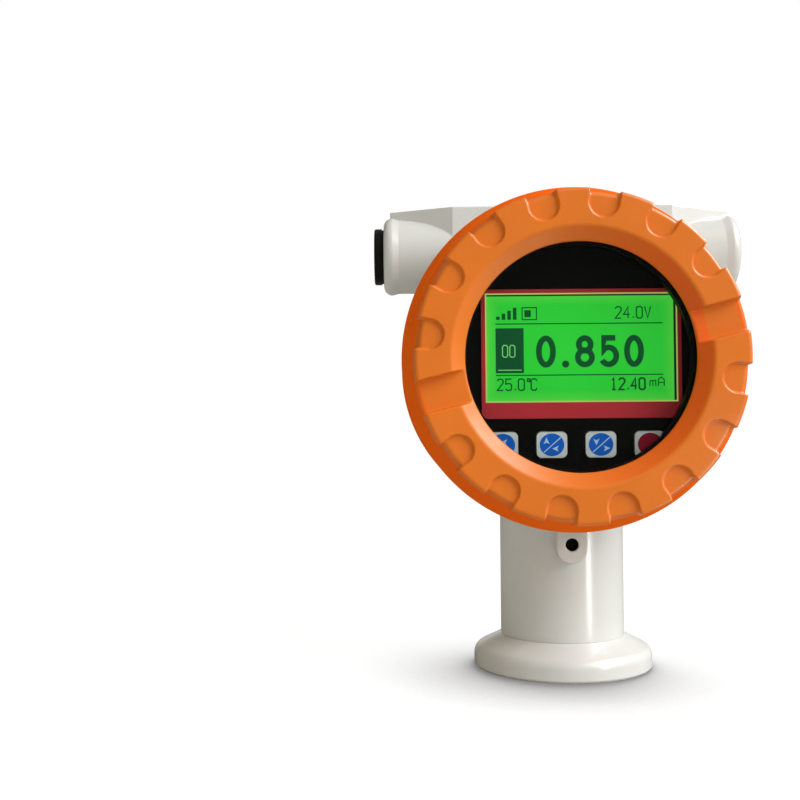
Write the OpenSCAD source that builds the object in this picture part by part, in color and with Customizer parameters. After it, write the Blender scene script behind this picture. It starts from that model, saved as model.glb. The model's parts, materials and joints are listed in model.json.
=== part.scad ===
// Ultrasonic level transmitter with a drum housing, two screw covers, a display and a sensing foot.
// Millimetres, +Z up, display towards -Y. Origin: centre of the sensing face under the foot.

/* [Drum] */
// Height of the drum axis above the sensing face
drum_axis_z = 127.5; // [115:0.5:150]
// Outside diameter of the drum between its flanges
drum_d = 120; // [118:0.5:126]
// Length of the drum between the two cover rims
drum_len = 80; // [72:1:100]
// Outside diameter of the flange behind each cover
flange_d = 131; // [128:0.5:134]
// Width of each flange
flange_w = 6; // [4:0.5:9]
// Outside diameter of the threaded collars
thread_d = 117; // [114:0.5:117]
// Wall of the threaded collars
collar_wall = 4.3; // [3.5:0.1:5]
// Length of each threaded collar
collar_len = 16; // [12:0.5:17]
// Thickness of the wall between the two rooms
partition_t = 4; // [3:0.5:6]
// Radius of the wire passage through that wall
passage_r = 10; // [9.5:0.5:14]

/* [Neck and earth boss] */
// Outside diameter of the neck
neck_d = 52; // [46:0.5:60]
// Wall of the neck
neck_wall = 6; // [4.5:0.5:6.5]
// Radius of the blend between neck and drum
neck_blend_r = 5; // [3:0.5:7]
// Width of the earth boss
boss_w = 12.2; // [10:0.2:14]
// How far the earth boss stands out from the neck
boss_proud = 5; // [3:0.5:8]
// Height of the earth hole above the sensing face
boss_hole_z = 53.8; // [48:0.2:56]
// Metal below the earth hole
boss_below = 7.6; // [6.2:0.2:9]
// Core diameter of the earth hole
earth_hole_d = 5; // [4.2:0.1:5.4]
// Depth of the earth hole
earth_hole_depth = 8; // [6:0.5:9]

/* [Cable entries and roof rib] */
// Distance between the end faces of the two entries
entry_span = 150; // [145:0.5:160]
// Depth of the entry axis below the roof
entry_drop = 18.7; // [17:0.1:21]
// Outside diameter of the entries
entry_d = 31.6; // [29:0.2:32]
// Outside diameter of the lip at each end
lip_d = 33; // [32.6:0.2:34]
// Width of that lip
lip_w = 6.4; // [5.6:0.2:8]
// Rounding of the lip's outer edge
lip_round = 3.6; // [2:0.2:4]
// Core diameter of the entry thread
entry_thread_d = 18.5; // [16:0.5:20]
// Length of the entry thread
entry_thread_len = 18; // [14:0.5:22]
// Height of the roof above the flanges
roof_over_flange = 0.5; // [0:0.5:4]
// Front to back size of the roof in the middle
roof_depth = 29; // [24:0.5:30]
// Front to back size of the roof at its ends
roof_end_depth = 5; // [3:0.5:10]
// Length of the straight middle of the roof
roof_mid_len = 92; // [80:1:100]
// Distance from each end of the roof to the end face of its entry
roof_end_gap = 2.8; // [2:0.2:9]

/* [Sensing foot] */
// Diameter of the foot
foot_d = 75; // [72:0.5:90]
// Height of the straight band of the foot
foot_band = 5; // [4.4:0.1:8]
// Radius of the shoulder above that band
foot_round = 4.4; // [3.6:0.2:5.4]
// Rise of the sloping top from the shoulder to the neck
foot_rise = 4; // [3.2:0.1:5]
// Height of the spigot that goes up into the neck
spigot_h = 14; // [12:0.5:20]
// Diameter of the sensing disc
face_d = 60; // [52:1:66]
// Thickness of the sensing disc
face_t = 3; // [2:0.2:4]
// Diameter of the piezo disc
piezo_d = 25; // [18:1:30]
// Thickness of the piezo disc
piezo_t = 4; // [2:0.5:4.5]
// Diameter of the damping block
damper_d = 36; // [32:1:44]
// Diameter of the transducer lead
lead_d = 3.2; // [2:0.2:3.4]

/* [Screw covers] */
// Depth of a cover from rim to face
cover_depth = 23.4; // [23:0.2:24.4]
// Wall of the rim outside the seal groove
rim_wall = 5.65; // [5:0.05:8]
// Diameter of the face below the lugs
face_edge_d = 122.4; // [122:0.2:124]
// Diameter over the grip lugs at the face
lug_d = 126.4; // [125.4:0.2:128]
// Depth of the grip lugs
lug_depth = 10; // [8:0.5:11]
// Number of places round the cover, two of them spanner slots
grip_count = 16; // [12:2:18]
// Angle of the front cover's spanner slot
front_grip_angle = 14.1; // [0:0.1:22.5]
// Angle of the rear cover's spanner slot
rear_grip_angle = 90; // [0:0.5:180]
// Width of a grip pocket
pocket_w = 11.4; // [9:0.2:12]
// Length of a grip pocket from the edge of the lugs
pocket_len = 10.7; // [9:0.1:11.2]
// Depth of a grip pocket
pocket_depth = 1.4; // [1:0.1:2.4]
// Rounding of the edge of the face and lugs
face_round = 1.6; // [1:0.1:1.8]
// Width of a spanner slot at the face
slot_w = 12.8; // [10:0.2:14]
// Depth of a spanner slot
slot_depth = 4.4; // [3.4:0.2:4.4]
// Thickness of the blind wall of the rear cover
blind_wall = 3; // [2:0.5:3.5]
// Diameter of the plain raised disc on the rear cover
medal_d = 42; // [30:1:60]
// Cord diameter of the cover seals
seal_cord = 3; // [2.4:0.1:3]

/* [Window] */
// Diameter of the bevel at the face
bevel_d = 98; // [95:0.2:100]
// Diameter of the clear window
window_d = 87.4; // [84:0.2:90]
// Depth of the bevel
bevel_depth = 4.8; // [4.6:0.1:5.2]
// Thickness of the land at the foot of the bevel
land_t = 1; // [0.8:0.1:2]
// Width of the seat under the land
seat_w = 4.6; // [3.5:0.1:4.6]
// Wall of the inner boss that holds the glass
window_boss_wall = 3.7; // [3:0.1:4]
// Thickness of the gasket
gasket_t = 1; // [0.5:0.1:1.5]
// Thickness of the glass
glass_t = 6; // [5:0.5:7]
// Height of the retaining ring
retainer_h = 3.6; // [3:0.2:5]

/* [Display] */
// Gap between the retaining ring and the faceplate
plate_gap = 2.3; // [1.8:0.1:4]
// Thickness of the faceplate
plate_t = 2; // [1.8:0.1:3]
// Width of the screen opening
screen_w = 73.5; // [66:0.5:74]
// Height of the screen opening
screen_h = 41.4; // [36:0.2:42]
// Sideways place of the screen centre
screen_x = 2.2; // [-2.5:0.1:2.5]
// Height of the screen centre above the drum axis
screen_z = 4.4; // [3:0.1:6]
// Border of the red frame at the sides and top
frame_border = 2.1; // [1.5:0.1:2.5]
// Depth of the red frame below the screen
frame_label_h = 6.8; // [3:0.1:7]
// Thickness of the red frame
frame_t = 0.6; // [0.3:0.1:1]
// Corner radius of the red frame
frame_corner_r = 2.7; // [1:0.1:4]
// How far the display glass reaches past the opening
panel_margin = 3.2; // [2:0.1:3.5]
// Thickness of the display glass
panel_t = 2.8; // [2:0.1:3.5]
// Thickness of the backlight
backlight_t = 3.4; // [3:0.1:4.5]
// Thickness of the circuit boards
board_t = 1.6; // [1:0.1:2]

/* [Keys] */
// Distance between keys
key_pitch = 19; // [16:0.2:19.2]
// Sideways place of the row of keys
key_row_x = -0.2; // [-0.5:0.1:0.5]
// Height of the row of keys relative to the drum axis
key_row_z = -33.3; // [-33.6:0.1:-32]
// Width of a key cap
key_w = 11.8; // [9:0.2:12]
// Height of a key cap
key_h = 10; // [8:0.2:10.4]
// Corner radius of a key cap
key_corner_r = 2; // [1:0.1:3]
// How far a key stands out of the faceplate
key_proud = 1; // [0.6:0.1:1.2]
// Travel of a key
key_travel = 0.5; // [0.2:0.1:0.6]

/* [Electronics] */
// Radius of the circle of pillars
pillar_circle_r = 49.3; // [48.5:0.1:49.6]
// Diameter of the pillars
pillar_d = 5.2; // [4.5:0.1:5.6]
// Diameter of the pillar studs
stud_d = 3; // [2:0.1:3]
// Length of the rear pillars
rear_pillar_len = 8.4; // [8:0.1:10]
// Width of the terminal block
block_w = 62; // [56:1:70]
// Height of the terminal block
block_h = 22; // [20:1:26]
// Depth of the terminal block
block_t = 16; // [12:1:20]
// Number of terminals
terminal_count = 5; // [3:1:6]

/* [Blanking plug] */
// Diameter of the plug head
plug_head_d = 24; // [22:0.5:27]
// Thickness of the plug head
plug_head_t = 3.2; // [2.8:0.1:6]
// Length of the plug thread
plug_thread_len = 12; // [8:0.5:14]
// Thickness of the sealing washer
washer_t = 0.8; // [0.6:0.1:2]

/* [Hidden] */
$fn = 96;
eps = 0.05;
// Clearances
rim_gap = 0.3;
thread_gap = 0.3;
seal_gap = 0.35;
collar_end_gap = 1.5;
glass_gap = 0.3;
spigot_gap = 0.2;
plug_gap = 0.25;
key_gap = 0.3;
plate_edge_gap = 0.8;
board_edge_gap = 1.7;
stud_gap = 0.2;
glue_gap = 0.2;
groove_side_gap = 0.4;
groove_floor_gap = 0.2;
damper_gap = 0.4;

// Drum places, measured along Y from the neck axis
drum_r = drum_d / 2;
flange_r = flange_d / 2;
thread_r = thread_d / 2;
bore_r = thread_r - collar_wall;
shoulder_y = drum_len / 2;
collar_end_y = shoulder_y + collar_len;
mouth_y = shoulder_y + rim_gap;
partition_back_y = entry_thread_d / 2 + 0.75;
partition_front_y = partition_back_y + partition_t;

// Neck, boss and foot
neck_r = neck_d / 2;
neck_bore_r = neck_r - neck_wall;
foot_r = foot_d / 2;
foot_top_z = foot_band + foot_round + foot_rise;
boss_front_y = neck_r + boss_proud;
boss_back_y = neck_bore_r + 1;
boss_top_z = drum_axis_z - (drum_r + bore_r) / 2;
boss_round_z = boss_hole_z - boss_below + boss_w / 2;
foot_cavity_room = 4;
foot_roof_t = 2.7;
foot_cavity_r = damper_d / 2 + foot_cavity_room;
foot_cavity_top = foot_top_z - foot_roof_t;
spigot_r = neck_bore_r - spigot_gap;
spigot_bore_r = 8;
foot_seal_cord = 2.6;
foot_seal_z = foot_top_z + spigot_h / 2;
face_recess_z = face_t + glue_gap;
piezo_top_z = face_t + piezo_t;
damper_top_z = foot_cavity_top - damper_gap;

// Entries and roof
entry_end_x = entry_span / 2;
roof_top_z = drum_axis_z + flange_r + roof_over_flange;
entry_z = roof_top_z - entry_drop;
entry_thread_r = entry_thread_d / 2;
entry_core_r = entry_thread_r - 1.25;
entry_core_end_x = 14;
roof_len = entry_span - 2 * roof_end_gap;

// Cover places, measured from the rim plane towards the face
face_edge_r = face_edge_d / 2;
lug_r = lug_d / 2;
cover_thread_r = thread_r + thread_gap;
mouth_r = cover_thread_r + 0.3;
rim_round = 1.2;
hollow_top = collar_len - rim_gap + collar_end_gap;
groove_low = 1.2;
groove_high = groove_low + seal_cord + groove_side_gap;
seal_mid_r = thread_r + seal_gap + seal_cord / 2;
groove_r = seal_mid_r + seal_cord / 2 + groove_floor_gap;
rim_r = groove_r + rim_wall;
window_r = window_d / 2;
bevel_r = bevel_d / 2;
land_z = cover_depth - bevel_depth;
seat_z = land_z - land_t;
recess_r = window_r + seat_w;
boss_outer_r = recess_r + window_boss_wall;
glass_front_z = seat_z - gasket_t;
glass_back_z = glass_front_z - glass_t;
retainer_back_z = glass_back_z - retainer_h;
glass_r = recess_r - glass_gap;
blind_front_z = cover_depth - slot_depth;
blind_back_z = blind_front_z - blind_wall;
medal_proud = 0.6;
pocket_round_r = lug_r - pocket_len + pocket_w / 2;

// Display stack, measured along -Y from the neck axis
plate_front_y = mouth_y + retainer_back_z - plate_gap;
plate_back_y = plate_front_y - plate_t;
plate_r = bore_r - plate_edge_gap;
panel_back_y = plate_back_y - panel_t;
display_board_front_y = panel_back_y - backlight_t;
display_board_back_y = display_board_front_y - board_t;
display_board_r = bore_r - board_edge_gap - 1;
main_board_back_y = partition_front_y + rear_pillar_len;
main_board_front_y = main_board_back_y + board_t;
main_board_r = bore_r - board_edge_gap;
key_front_y = plate_front_y + key_proud;
key_flange_y = plate_back_y - key_gap;
key_flange_t = 1;
key_back_y = key_flange_y - key_flange_t;
key_xs = [for (i = [0:3]) key_row_x + (i - 1.5) * key_pitch];
switch_size = 6.2;
switch_top_y = key_back_y - 1.5;
plunger_r = 1.6;
plunger_end_y = switch_top_y - 1.4;
switch_well_y = plunger_end_y - key_travel - 0.3;
pillar_angles = [0, 90, 180, 270];
stud_r = stud_d / 2;
stud_bite = 4;
stud_hole = 5;
screw_r = stud_r - stud_gap;
screw_bite = 6;
screw_slot_w = 0.8;
screw_slot_h = 0.7;
rear_stud_len = 2.6;
rear_stud_hole = 3;
// Parts on the boards
board_room = display_board_back_y - main_board_front_y;
part_headroom = 2.2;
part_h = board_room - part_headroom;
core_w = 22;
core_l = 18;
core_web = 3;
core_x = -20;
core_z = 2;
coil_r = 5.5;
can_r = 4;
can_crimp = 0.3;
can_xs = [14, 25];
can_z = 8;
chip_w = 14;
chip_t = 1.6;
chip_x = 14;
chip_z = -14;
header_h = 5;
header_l = 6;
lead_header_w = 10;
supply_header_w = 14;
display_header_w = 26;
display_header_l = 5;
display_header_z = 34;
block_back_y = -partition_back_y + block_t;
block_floor = 4;
block_screw_r = 1.5;
block_screw_grip = 3;
block_head_r = 2.75;
block_head_h = 2;
block_screw_inset = 4.5;
terminal_well = 6;
terminal_screw_r = 2.5;
terminal_screw_h = 4;
wire_w = 4;
wire_h = 5;
wire_depth = 9;
wire_floor = 3;
supply_lead_r = 0.9;
supply_xs = [-4, 0, 4];
terminal_pitch = (block_w - 4 * block_screw_inset) / terminal_count;
terminal_xs = [for (i = [0:terminal_count - 1]) (i - (terminal_count - 1) / 2) * terminal_pitch];
lead_header_drop = 30;
lead_header_mid_y = main_board_back_y - header_h / 2;

// Colours
cast_white = [0.88, 0.885, 0.86];
cover_orange = [0.90, 0.50, 0.19];
seal_black = [0.06, 0.06, 0.06];
plate_black = [0.03, 0.03, 0.025];
frame_red = [0.65, 0.20, 0.22];
screen_green = [0.19, 0.78, 0.25];
board_green = [0.08, 0.32, 0.16];
cap_grey = [0.78, 0.80, 0.80];
steel_grey = [0.66, 0.67, 0.68];
brass_gold = [0.78, 0.62, 0.30];

// Points of an arc in a profile
function arc_points(c, r, from, to, n) =
  [for (i = [0:n]) c + r * [cos(from + (to - from) * i / n), sin(from + (to - from) * i / n)]];

// Frame of a cover: its own +Z runs from the rim plane out through the face
module at_front_cover() {
  translate([0, -mouth_y, drum_axis_z]) rotate([90, 0, 0]) children();
}
module at_rear_cover() {
  translate([0, mouth_y, drum_axis_z]) rotate([90, 0, 180]) children();
}
// Frame of the display stack: +Z runs towards the viewer, zero on the neck axis
module at_display() {
  translate([0, 0, drum_axis_z]) rotate([90, 0, 0]) children();
}
// Frame of a cable entry: +Z runs outwards along X
module at_entry(side) {
  translate([0, 0, entry_z]) rotate([0, side * 90, 0]) children();
}
module ring(outer, inner, h) {
  difference() {
    cylinder(r = outer, h = h);
    translate([0, 0, -eps]) cylinder(r = inner, h = h + 2 * eps);
  }
}
module rounded_plate(w, h, r) {
  square([w - 2 * r, h], center = true);
  square([w, h - 2 * r], center = true);
  for (sx = [-1, 1], sy = [-1, 1]) translate([sx * (w / 2 - r), sy * (h / 2 - r)]) circle(r = r);
}
module torus(mid_r, cord) {
  rotate_extrude() translate([mid_r, 0]) circle(d = cord);
}

// Housing casting
module entry_outside() {
  rotate_extrude() polygon(concat(
    [[0, 0], [entry_d / 2, 0], [entry_d / 2, entry_end_x - lip_w]],
    arc_points([lip_d / 2 - lip_round, entry_end_x - lip_round], lip_round, 0, 90, 6),
    [[0, entry_end_x]]
  ));
}
module entry_inside() {
  chamfer = 1;
  translate([0, 0, entry_core_end_x]) cylinder(r = entry_core_r, h = entry_end_x);
  translate([0, 0, entry_end_x - entry_thread_len]) cylinder(r = entry_thread_r, h = entry_thread_len + 1);
  translate([0, 0, entry_end_x - chamfer])
    cylinder(r1 = entry_thread_r, r2 = entry_thread_r + chamfer + eps, h = chamfer + eps);
}
module roof_plan() {
  mid_x = roof_mid_len / 2;
  end_x = roof_len / 2;
  mid_y = roof_depth / 2;
  end_y = roof_end_depth / 2;
  polygon([
    [-end_x, -end_y], [-mid_x, -mid_y], [mid_x, -mid_y], [end_x, -end_y],
    [end_x, end_y], [mid_x, mid_y], [-mid_x, mid_y], [-end_x, end_y]
  ]);
}
module flange_profile() {
  slope = flange_r - drum_r;
  polygon([
    [drum_r - 2, 0], [flange_r - 1, 0], [flange_r, 1], [flange_r, flange_w - 1],
    [flange_r - 1, flange_w], [drum_r, flange_w + slope * 0.6], [drum_r - 2, flange_w + slope * 0.6]
  ]);
}
module drum_outside() {
  cylinder(r = drum_r, h = drum_len, center = true);
  cylinder(r = thread_r, h = drum_len + 2 * collar_len, center = true);
  for (side = [0, 180]) rotate([side, 0, 0])
    translate([0, 0, -shoulder_y]) rotate_extrude() flange_profile();
}
module neck_blend() {
  top_z = drum_axis_z - sqrt(drum_r * drum_r - neck_r * neck_r) + 1;
  rotate_extrude() difference() {
    translate([neck_r - 2, top_z - neck_blend_r]) square([neck_blend_r + 2, neck_blend_r]);
    translate([neck_r + neck_blend_r, top_z - neck_blend_r]) circle(r = neck_blend_r + 0.3);
  }
}
module earth_boss() {
  translate([0, -boss_back_y, 0]) rotate([90, 0, 0])
    linear_extrude(boss_front_y - boss_back_y) {
      translate([0, boss_round_z]) circle(d = boss_w);
      translate([-boss_w / 2, boss_round_z]) square([boss_w, boss_top_z - boss_round_z]);
    }
}
module earth_hole() {
  countersink = 0.5;
  translate([0, -boss_front_y, boss_hole_z]) rotate([-90, 0, 0]) {
    translate([0, 0, -1]) cylinder(d = earth_hole_d, h = earth_hole_depth + 1);
    translate([0, 0, -eps])
      cylinder(r1 = earth_hole_d / 2 + countersink + eps, r2 = earth_hole_d / 2, h = countersink + eps);
  }
}
module room(from_y, to_y) {
  translate([0, to_y, drum_axis_z]) rotate([90, 0, 0]) cylinder(r = bore_r, h = to_y - from_y);
}
module housing() {
  color(cast_white) difference() {
    union() {
      translate([0, 0, drum_axis_z]) rotate([90, 0, 0]) drum_outside();
      translate([0, 0, foot_top_z]) cylinder(r = neck_r, h = drum_axis_z - foot_top_z);
      neck_blend();
      earth_boss();
      for (side = [-1, 1]) at_entry(side) entry_outside();
      translate([0, 0, entry_z]) linear_extrude(roof_top_z - entry_z) roof_plan();
    }
    room(-collar_end_y - 1, -partition_front_y);
    room(-partition_back_y, collar_end_y + 1);
    translate([0, 0, foot_top_z - 1])
      cylinder(r = neck_bore_r, h = drum_axis_z - bore_r + neck_wall - foot_top_z);
    at_display() translate([0, 0, partition_back_y - 1]) cylinder(r = passage_r, h = partition_t + 2);
    at_display() for (a = pillar_angles) rotate(a) translate([pillar_circle_r, 0, partition_front_y])
      translate([0, 0, -rear_stud_hole]) cylinder(r = stud_r + stud_gap, h = rear_stud_hole + 1);
    at_block_screws() translate([0, 0, -block_screw_grip])
      cylinder(r = block_screw_r + stud_gap, h = block_screw_grip + 1);
    for (side = [-1, 1]) at_entry(side) entry_inside();
    earth_hole();
  }
}

// Sensing foot and transducer
module sensor_foot() {
  edge = 0.8;
  groove_h = foot_seal_cord + groove_side_gap;
  groove_floor = neck_bore_r - foot_seal_cord - groove_floor_gap;
  shoulder_angle = 68;
  color(cast_white) rotate_extrude() polygon(concat(
    [[face_d / 2 + glue_gap, 0], [foot_r - edge, 0], [foot_r, edge]],
    arc_points([foot_r - foot_round, foot_band], foot_round, 0, shoulder_angle, 6),
    [[neck_r, foot_top_z], [spigot_r, foot_top_z]],
    [[spigot_r, foot_seal_z - groove_h / 2], [groove_floor, foot_seal_z - groove_h / 2]],
    [[groove_floor, foot_seal_z + groove_h / 2], [spigot_r, foot_seal_z + groove_h / 2]],
    [[spigot_r, foot_top_z + spigot_h - edge], [spigot_r - edge, foot_top_z + spigot_h]],
    [[spigot_bore_r, foot_top_z + spigot_h], [spigot_bore_r, foot_cavity_top]],
    [[foot_cavity_r, foot_cavity_top], [foot_cavity_r, face_recess_z]],
    [[face_d / 2 + glue_gap, face_recess_z]]
  ));
}
module foot_o_ring() {
  color(seal_black) translate([0, 0, foot_seal_z])
    torus(neck_bore_r - foot_seal_cord / 2 - 0.1, foot_seal_cord);
}
module transducer_face() {
  color(steel_grey) cylinder(d = face_d, h = face_t);
}
module piezo_disc() {
  color([0.80, 0.74, 0.60]) translate([0, 0, face_t]) cylinder(d = piezo_d, h = piezo_t);
}
module damping_block() {
  color([0.20, 0.20, 0.21]) translate([0, 0, piezo_top_z])
    cylinder(d = damper_d, h = damper_top_z - piezo_top_z);
}

// Route of the transducer lead: up the neck, forward past the partition and into its header
lead_x = 6;
lead_reach = neck_bore_r - lead_d / 2 - 0.4;
lead_sway_y = -sqrt(lead_reach * lead_reach - lead_x * lead_x);
lead_top_z = drum_axis_z - lead_header_drop - header_l / 2;
lead_room_z = drum_axis_z - bore_r;
lead_steps = 18;
function smooth(t) = t * t * (3 - 2 * t);
function lead_point(t) =
  let (
    z = damper_top_z + (lead_top_z - damper_top_z) * t,
    low_z = foot_top_z + spigot_h,
    s = max(0, min(1, (z - low_z) / (lead_room_z - low_z))),
    u = max(0, min(1, (z - lead_room_z) / (lead_top_z - lead_room_z)))
  )
  [lead_x * smooth(s), lead_sway_y * smooth(s) + (-lead_header_mid_y - lead_sway_y) * smooth(u), z];
module tube(points, r, sides) {
  n = len(points);
  rim = [for (p = points, i = [0:sides - 1]) p + r * [cos(i * 360 / sides), sin(i * 360 / sides), 0]];
  walls = [for (k = [0:n - 2], i = [0:sides - 1]) let (j = (i + 1) % sides)
    [k * sides + i, (k + 1) * sides + i, (k + 1) * sides + j, k * sides + j]];
  ends = [[for (i = [0:sides - 1]) i], [for (i = [sides - 1:-1:0]) (n - 1) * sides + i]];
  polyhedron(points = rim, faces = concat(walls, ends));
}
module transducer_lead() {
  color([0.12, 0.12, 0.13])
    tube([for (i = [0:lead_steps]) lead_point(i / lead_steps)], lead_d / 2, 8);
}

// Screw covers
module grip_pocket_plan() {
  translate([pocket_round_r, 0]) circle(d = pocket_w);
  translate([pocket_round_r, -pocket_w / 2]) square([rim_r - pocket_round_r, pocket_w]);
}
module spanner_slot() {
  draft = 0.5;
  rotate([90, 0, 90]) translate([0, 0, window_r - 2]) linear_extrude(rim_r)
    polygon([
      [-slot_w / 2 + draft, cover_depth - slot_depth], [slot_w / 2 - draft, cover_depth - slot_depth],
      [slot_w / 2, cover_depth], [slot_w / 2, cover_depth + 1],
      [-slot_w / 2, cover_depth + 1], [-slot_w / 2, cover_depth]
    ]);
}
module pocket_places(first_angle) {
  for (k = [0:grip_count - 1])
    if (k % (grip_count / 2) != 0) rotate(first_angle + k * 360 / grip_count) children();
}
module lug_ring(first_angle) {
  lug_root = face_round + 0.4;
  foot_r_of_lug = face_edge_r + (rim_r - face_edge_r) * lug_depth / cover_depth - 0.2;
  difference() {
    rotate_extrude() polygon(concat(
      [[face_edge_r - lug_root, cover_depth - lug_depth], [foot_r_of_lug, cover_depth - lug_depth]],
      arc_points([lug_r - face_round, cover_depth - face_round], face_round, 0, 90, 4),
      [[face_edge_r - lug_root, cover_depth]]
    ));
    pocket_places(first_angle) translate([pocket_round_r - 2, -pocket_w / 2, cover_depth - lug_depth - 1])
      cube([rim_r - pocket_round_r, pocket_w, lug_depth + 2]);
  }
}
// Outer wall of a cover in profile, from the mouth round to the edge of the face
function rim_points() = concat(
  [[mouth_r, 0]],
  arc_points([rim_r - rim_round, rim_round], rim_round, -90, 0, 4),
  [[rim_r, 2 * rim_round]],
  arc_points([face_edge_r - face_round, cover_depth - face_round], face_round, 0, 90, 4)
);
// Thread wall and seal groove, from the hollow back down to the mouth
function mouth_points() = [
  [cover_thread_r, hollow_top], [cover_thread_r, groove_high], [groove_r, groove_high],
  [groove_r, groove_low], [mouth_r, groove_low]
];
function window_points() = [
  [bevel_r, cover_depth], [window_r, land_z], [window_r, seat_z], [recess_r, seat_z],
  [recess_r, retainer_back_z], [boss_outer_r, retainer_back_z], [boss_outer_r, hollow_top]
];
function blind_points() = [
  [bevel_r, cover_depth], [bevel_r - slot_depth, blind_front_z], [medal_d / 2 + 0.3, blind_front_z],
  [medal_d / 2, blind_front_z + medal_proud], [0, blind_front_z + medal_proud], [0, blind_back_z],
  [boss_outer_r, blind_back_z], [boss_outer_r, hollow_top]
];
module cover_shell(inner_points, first_angle) {
  difference() {
    union() {
      rotate_extrude() polygon(concat(rim_points(), inner_points, mouth_points()));
      lug_ring(first_angle);
    }
    pocket_places(first_angle) translate([0, 0, cover_depth - pocket_depth])
      linear_extrude(pocket_depth + 1) grip_pocket_plan();
    for (turn = [0, 180]) rotate(first_angle + turn) spanner_slot();
  }
}
module front_cover() {
  color(cover_orange) at_front_cover() cover_shell(window_points(), front_grip_angle);
}
module rear_cover() {
  color(cover_orange) at_rear_cover() cover_shell(blind_points(), rear_grip_angle);
}
module cover_seal() {
  color(seal_black) translate([0, 0, (groove_low + groove_high) / 2]) torus(seal_mid_r, seal_cord);
}
module front_o_ring() {
  at_front_cover() cover_seal();
}
module rear_o_ring() {
  at_rear_cover() cover_seal();
}
module window_gasket() {
  color(seal_black) at_front_cover() translate([0, 0, glass_front_z])
    ring(glass_r, window_r + 0.6, gasket_t);
}
module window_glass() {
  color([0.75, 0.85, 0.85, 0.35]) at_front_cover() translate([0, 0, glass_back_z])
    cylinder(r = glass_r, h = glass_t);
}
module window_retainer() {
  notch_w = 4;
  color(seal_black) at_front_cover() translate([0, 0, retainer_back_z]) difference() {
    ring(glass_r, window_r, retainer_h);
    for (a = [45:90:315]) rotate(a) translate([window_r - 1, -notch_w / 2, -1])
      cube([notch_w, notch_w, 1 + retainer_h / 2]);
  }
}

// Blanking plug in the left entry
module plug_washer() {
  color(seal_black) at_entry(-1) translate([0, 0, entry_end_x])
    ring(plug_head_d / 2 - 0.5, entry_thread_r + 0.15, washer_t);
}
module entry_plug() {
  edge = 0.8;
  head_r = plug_head_d / 2;
  stem_r = entry_thread_r - plug_gap;
  slot_tool_w = 2.4;
  color(seal_black) at_entry(-1) translate([0, 0, entry_end_x + washer_t]) difference() {
    rotate_extrude() polygon(concat(
      [[0, -plug_thread_len - washer_t], [stem_r - 1, -plug_thread_len - washer_t],
        [stem_r, 1 - plug_thread_len - washer_t], [stem_r, 0], [head_r, 0]],
      arc_points([head_r - edge, plug_head_t - edge], edge, 0, 90, 4),
      [[0, plug_head_t]]
    ));
    translate([-slot_tool_w / 2, -head_r * 0.7, plug_head_t / 2])
      cube([slot_tool_w, head_r * 1.4, plug_head_t]);
  }
}

// Faceplate, screen and keys
module key_hole_plan() {
  rounded_plate(key_w + 2 * key_gap, key_h + 2 * key_gap, key_corner_r + key_gap);
}
module faceplate() {
  head_r = stud_d;
  color(plate_black) at_display() translate([0, 0, plate_back_y]) difference() {
    cylinder(r = plate_r, h = plate_t);
    translate([screen_x, screen_z, -1]) linear_extrude(plate_t + 2)
      square([screen_w, screen_h], center = true);
    for (x = key_xs) translate([x, key_row_z, -1]) linear_extrude(plate_t + 2) key_hole_plan();
    for (a = pillar_angles) rotate(a) translate([pillar_circle_r, 0, 0]) {
      translate([0, 0, -1]) cylinder(r = stud_r + stud_gap, h = plate_t + 2);
      translate([0, 0, plate_t - head_r + stud_r])
        cylinder(r1 = stud_r + stud_gap, r2 = head_r + stud_gap + eps, h = head_r - stud_r + eps);
    }
  }
}
module faceplate_screws() {
  head_r = stud_d;
  color(steel_grey) at_display() for (a = pillar_angles)
    rotate(a) translate([pillar_circle_r, 0, plate_front_y]) difference() {
      union() {
        translate([0, 0, stud_r - head_r]) cylinder(r1 = stud_r, r2 = head_r, h = head_r - stud_r);
        translate([0, 0, -plate_t - screw_bite])
          cylinder(r = screw_r, h = plate_t + screw_bite - (head_r - stud_r) / 2);
      }
      translate([-screw_slot_w / 2, -head_r, -screw_slot_h])
        cube([screw_slot_w, 2 * head_r, 2 * screw_slot_h]);
    }
}
module screen_frame() {
  frame_h = screen_h + frame_border + frame_label_h;
  color(frame_red) at_display() translate([screen_x, screen_z, plate_front_y]) linear_extrude(frame_t)
    difference() {
      translate([0, (frame_border - frame_label_h) / 2])
        rounded_plate(screen_w + 2 * frame_border, frame_h, frame_corner_r);
      square([screen_w, screen_h], center = true);
    }
}
module lcd_panel() {
  color(screen_green) at_display() translate([screen_x, screen_z, panel_back_y]) linear_extrude(panel_t)
    square([screen_w + 2 * panel_margin, screen_h + 2 * panel_margin], center = true);
}
module lcd_backlight() {
  color([0.85, 0.88, 0.85]) at_display() translate([screen_x, screen_z, display_board_front_y])
    linear_extrude(backlight_t)
      square([screen_w + 2 * panel_margin, screen_h + 2 * panel_margin], center = true);
}
module display_board() {
  color(board_green) at_display() translate([0, 0, display_board_back_y]) difference() {
    cylinder(r = display_board_r, h = board_t);
    for (a = pillar_angles) rotate(a) translate([pillar_circle_r, 0, -1])
      cylinder(r = pillar_d / 2 + 0.6, h = board_t + 2);
  }
}
module key_cap(i) {
  color(cap_grey) at_display() translate([key_xs[i], key_row_z, 0]) {
    translate([0, 0, key_flange_y - eps]) linear_extrude(key_front_y - key_flange_y + eps)
      rounded_plate(key_w, key_h, key_corner_r);
    translate([0, 0, key_back_y]) linear_extrude(key_flange_t)
      rounded_plate(key_w + 2, key_h + 2, key_corner_r);
  }
}
module key_plunger(i) {
  color([0.16, 0.16, 0.17]) at_display() translate([key_xs[i], key_row_z, plunger_end_y])
    cylinder(r = plunger_r, h = key_back_y - plunger_end_y);
}
module key_left() {
  key_cap(0);
}
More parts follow.
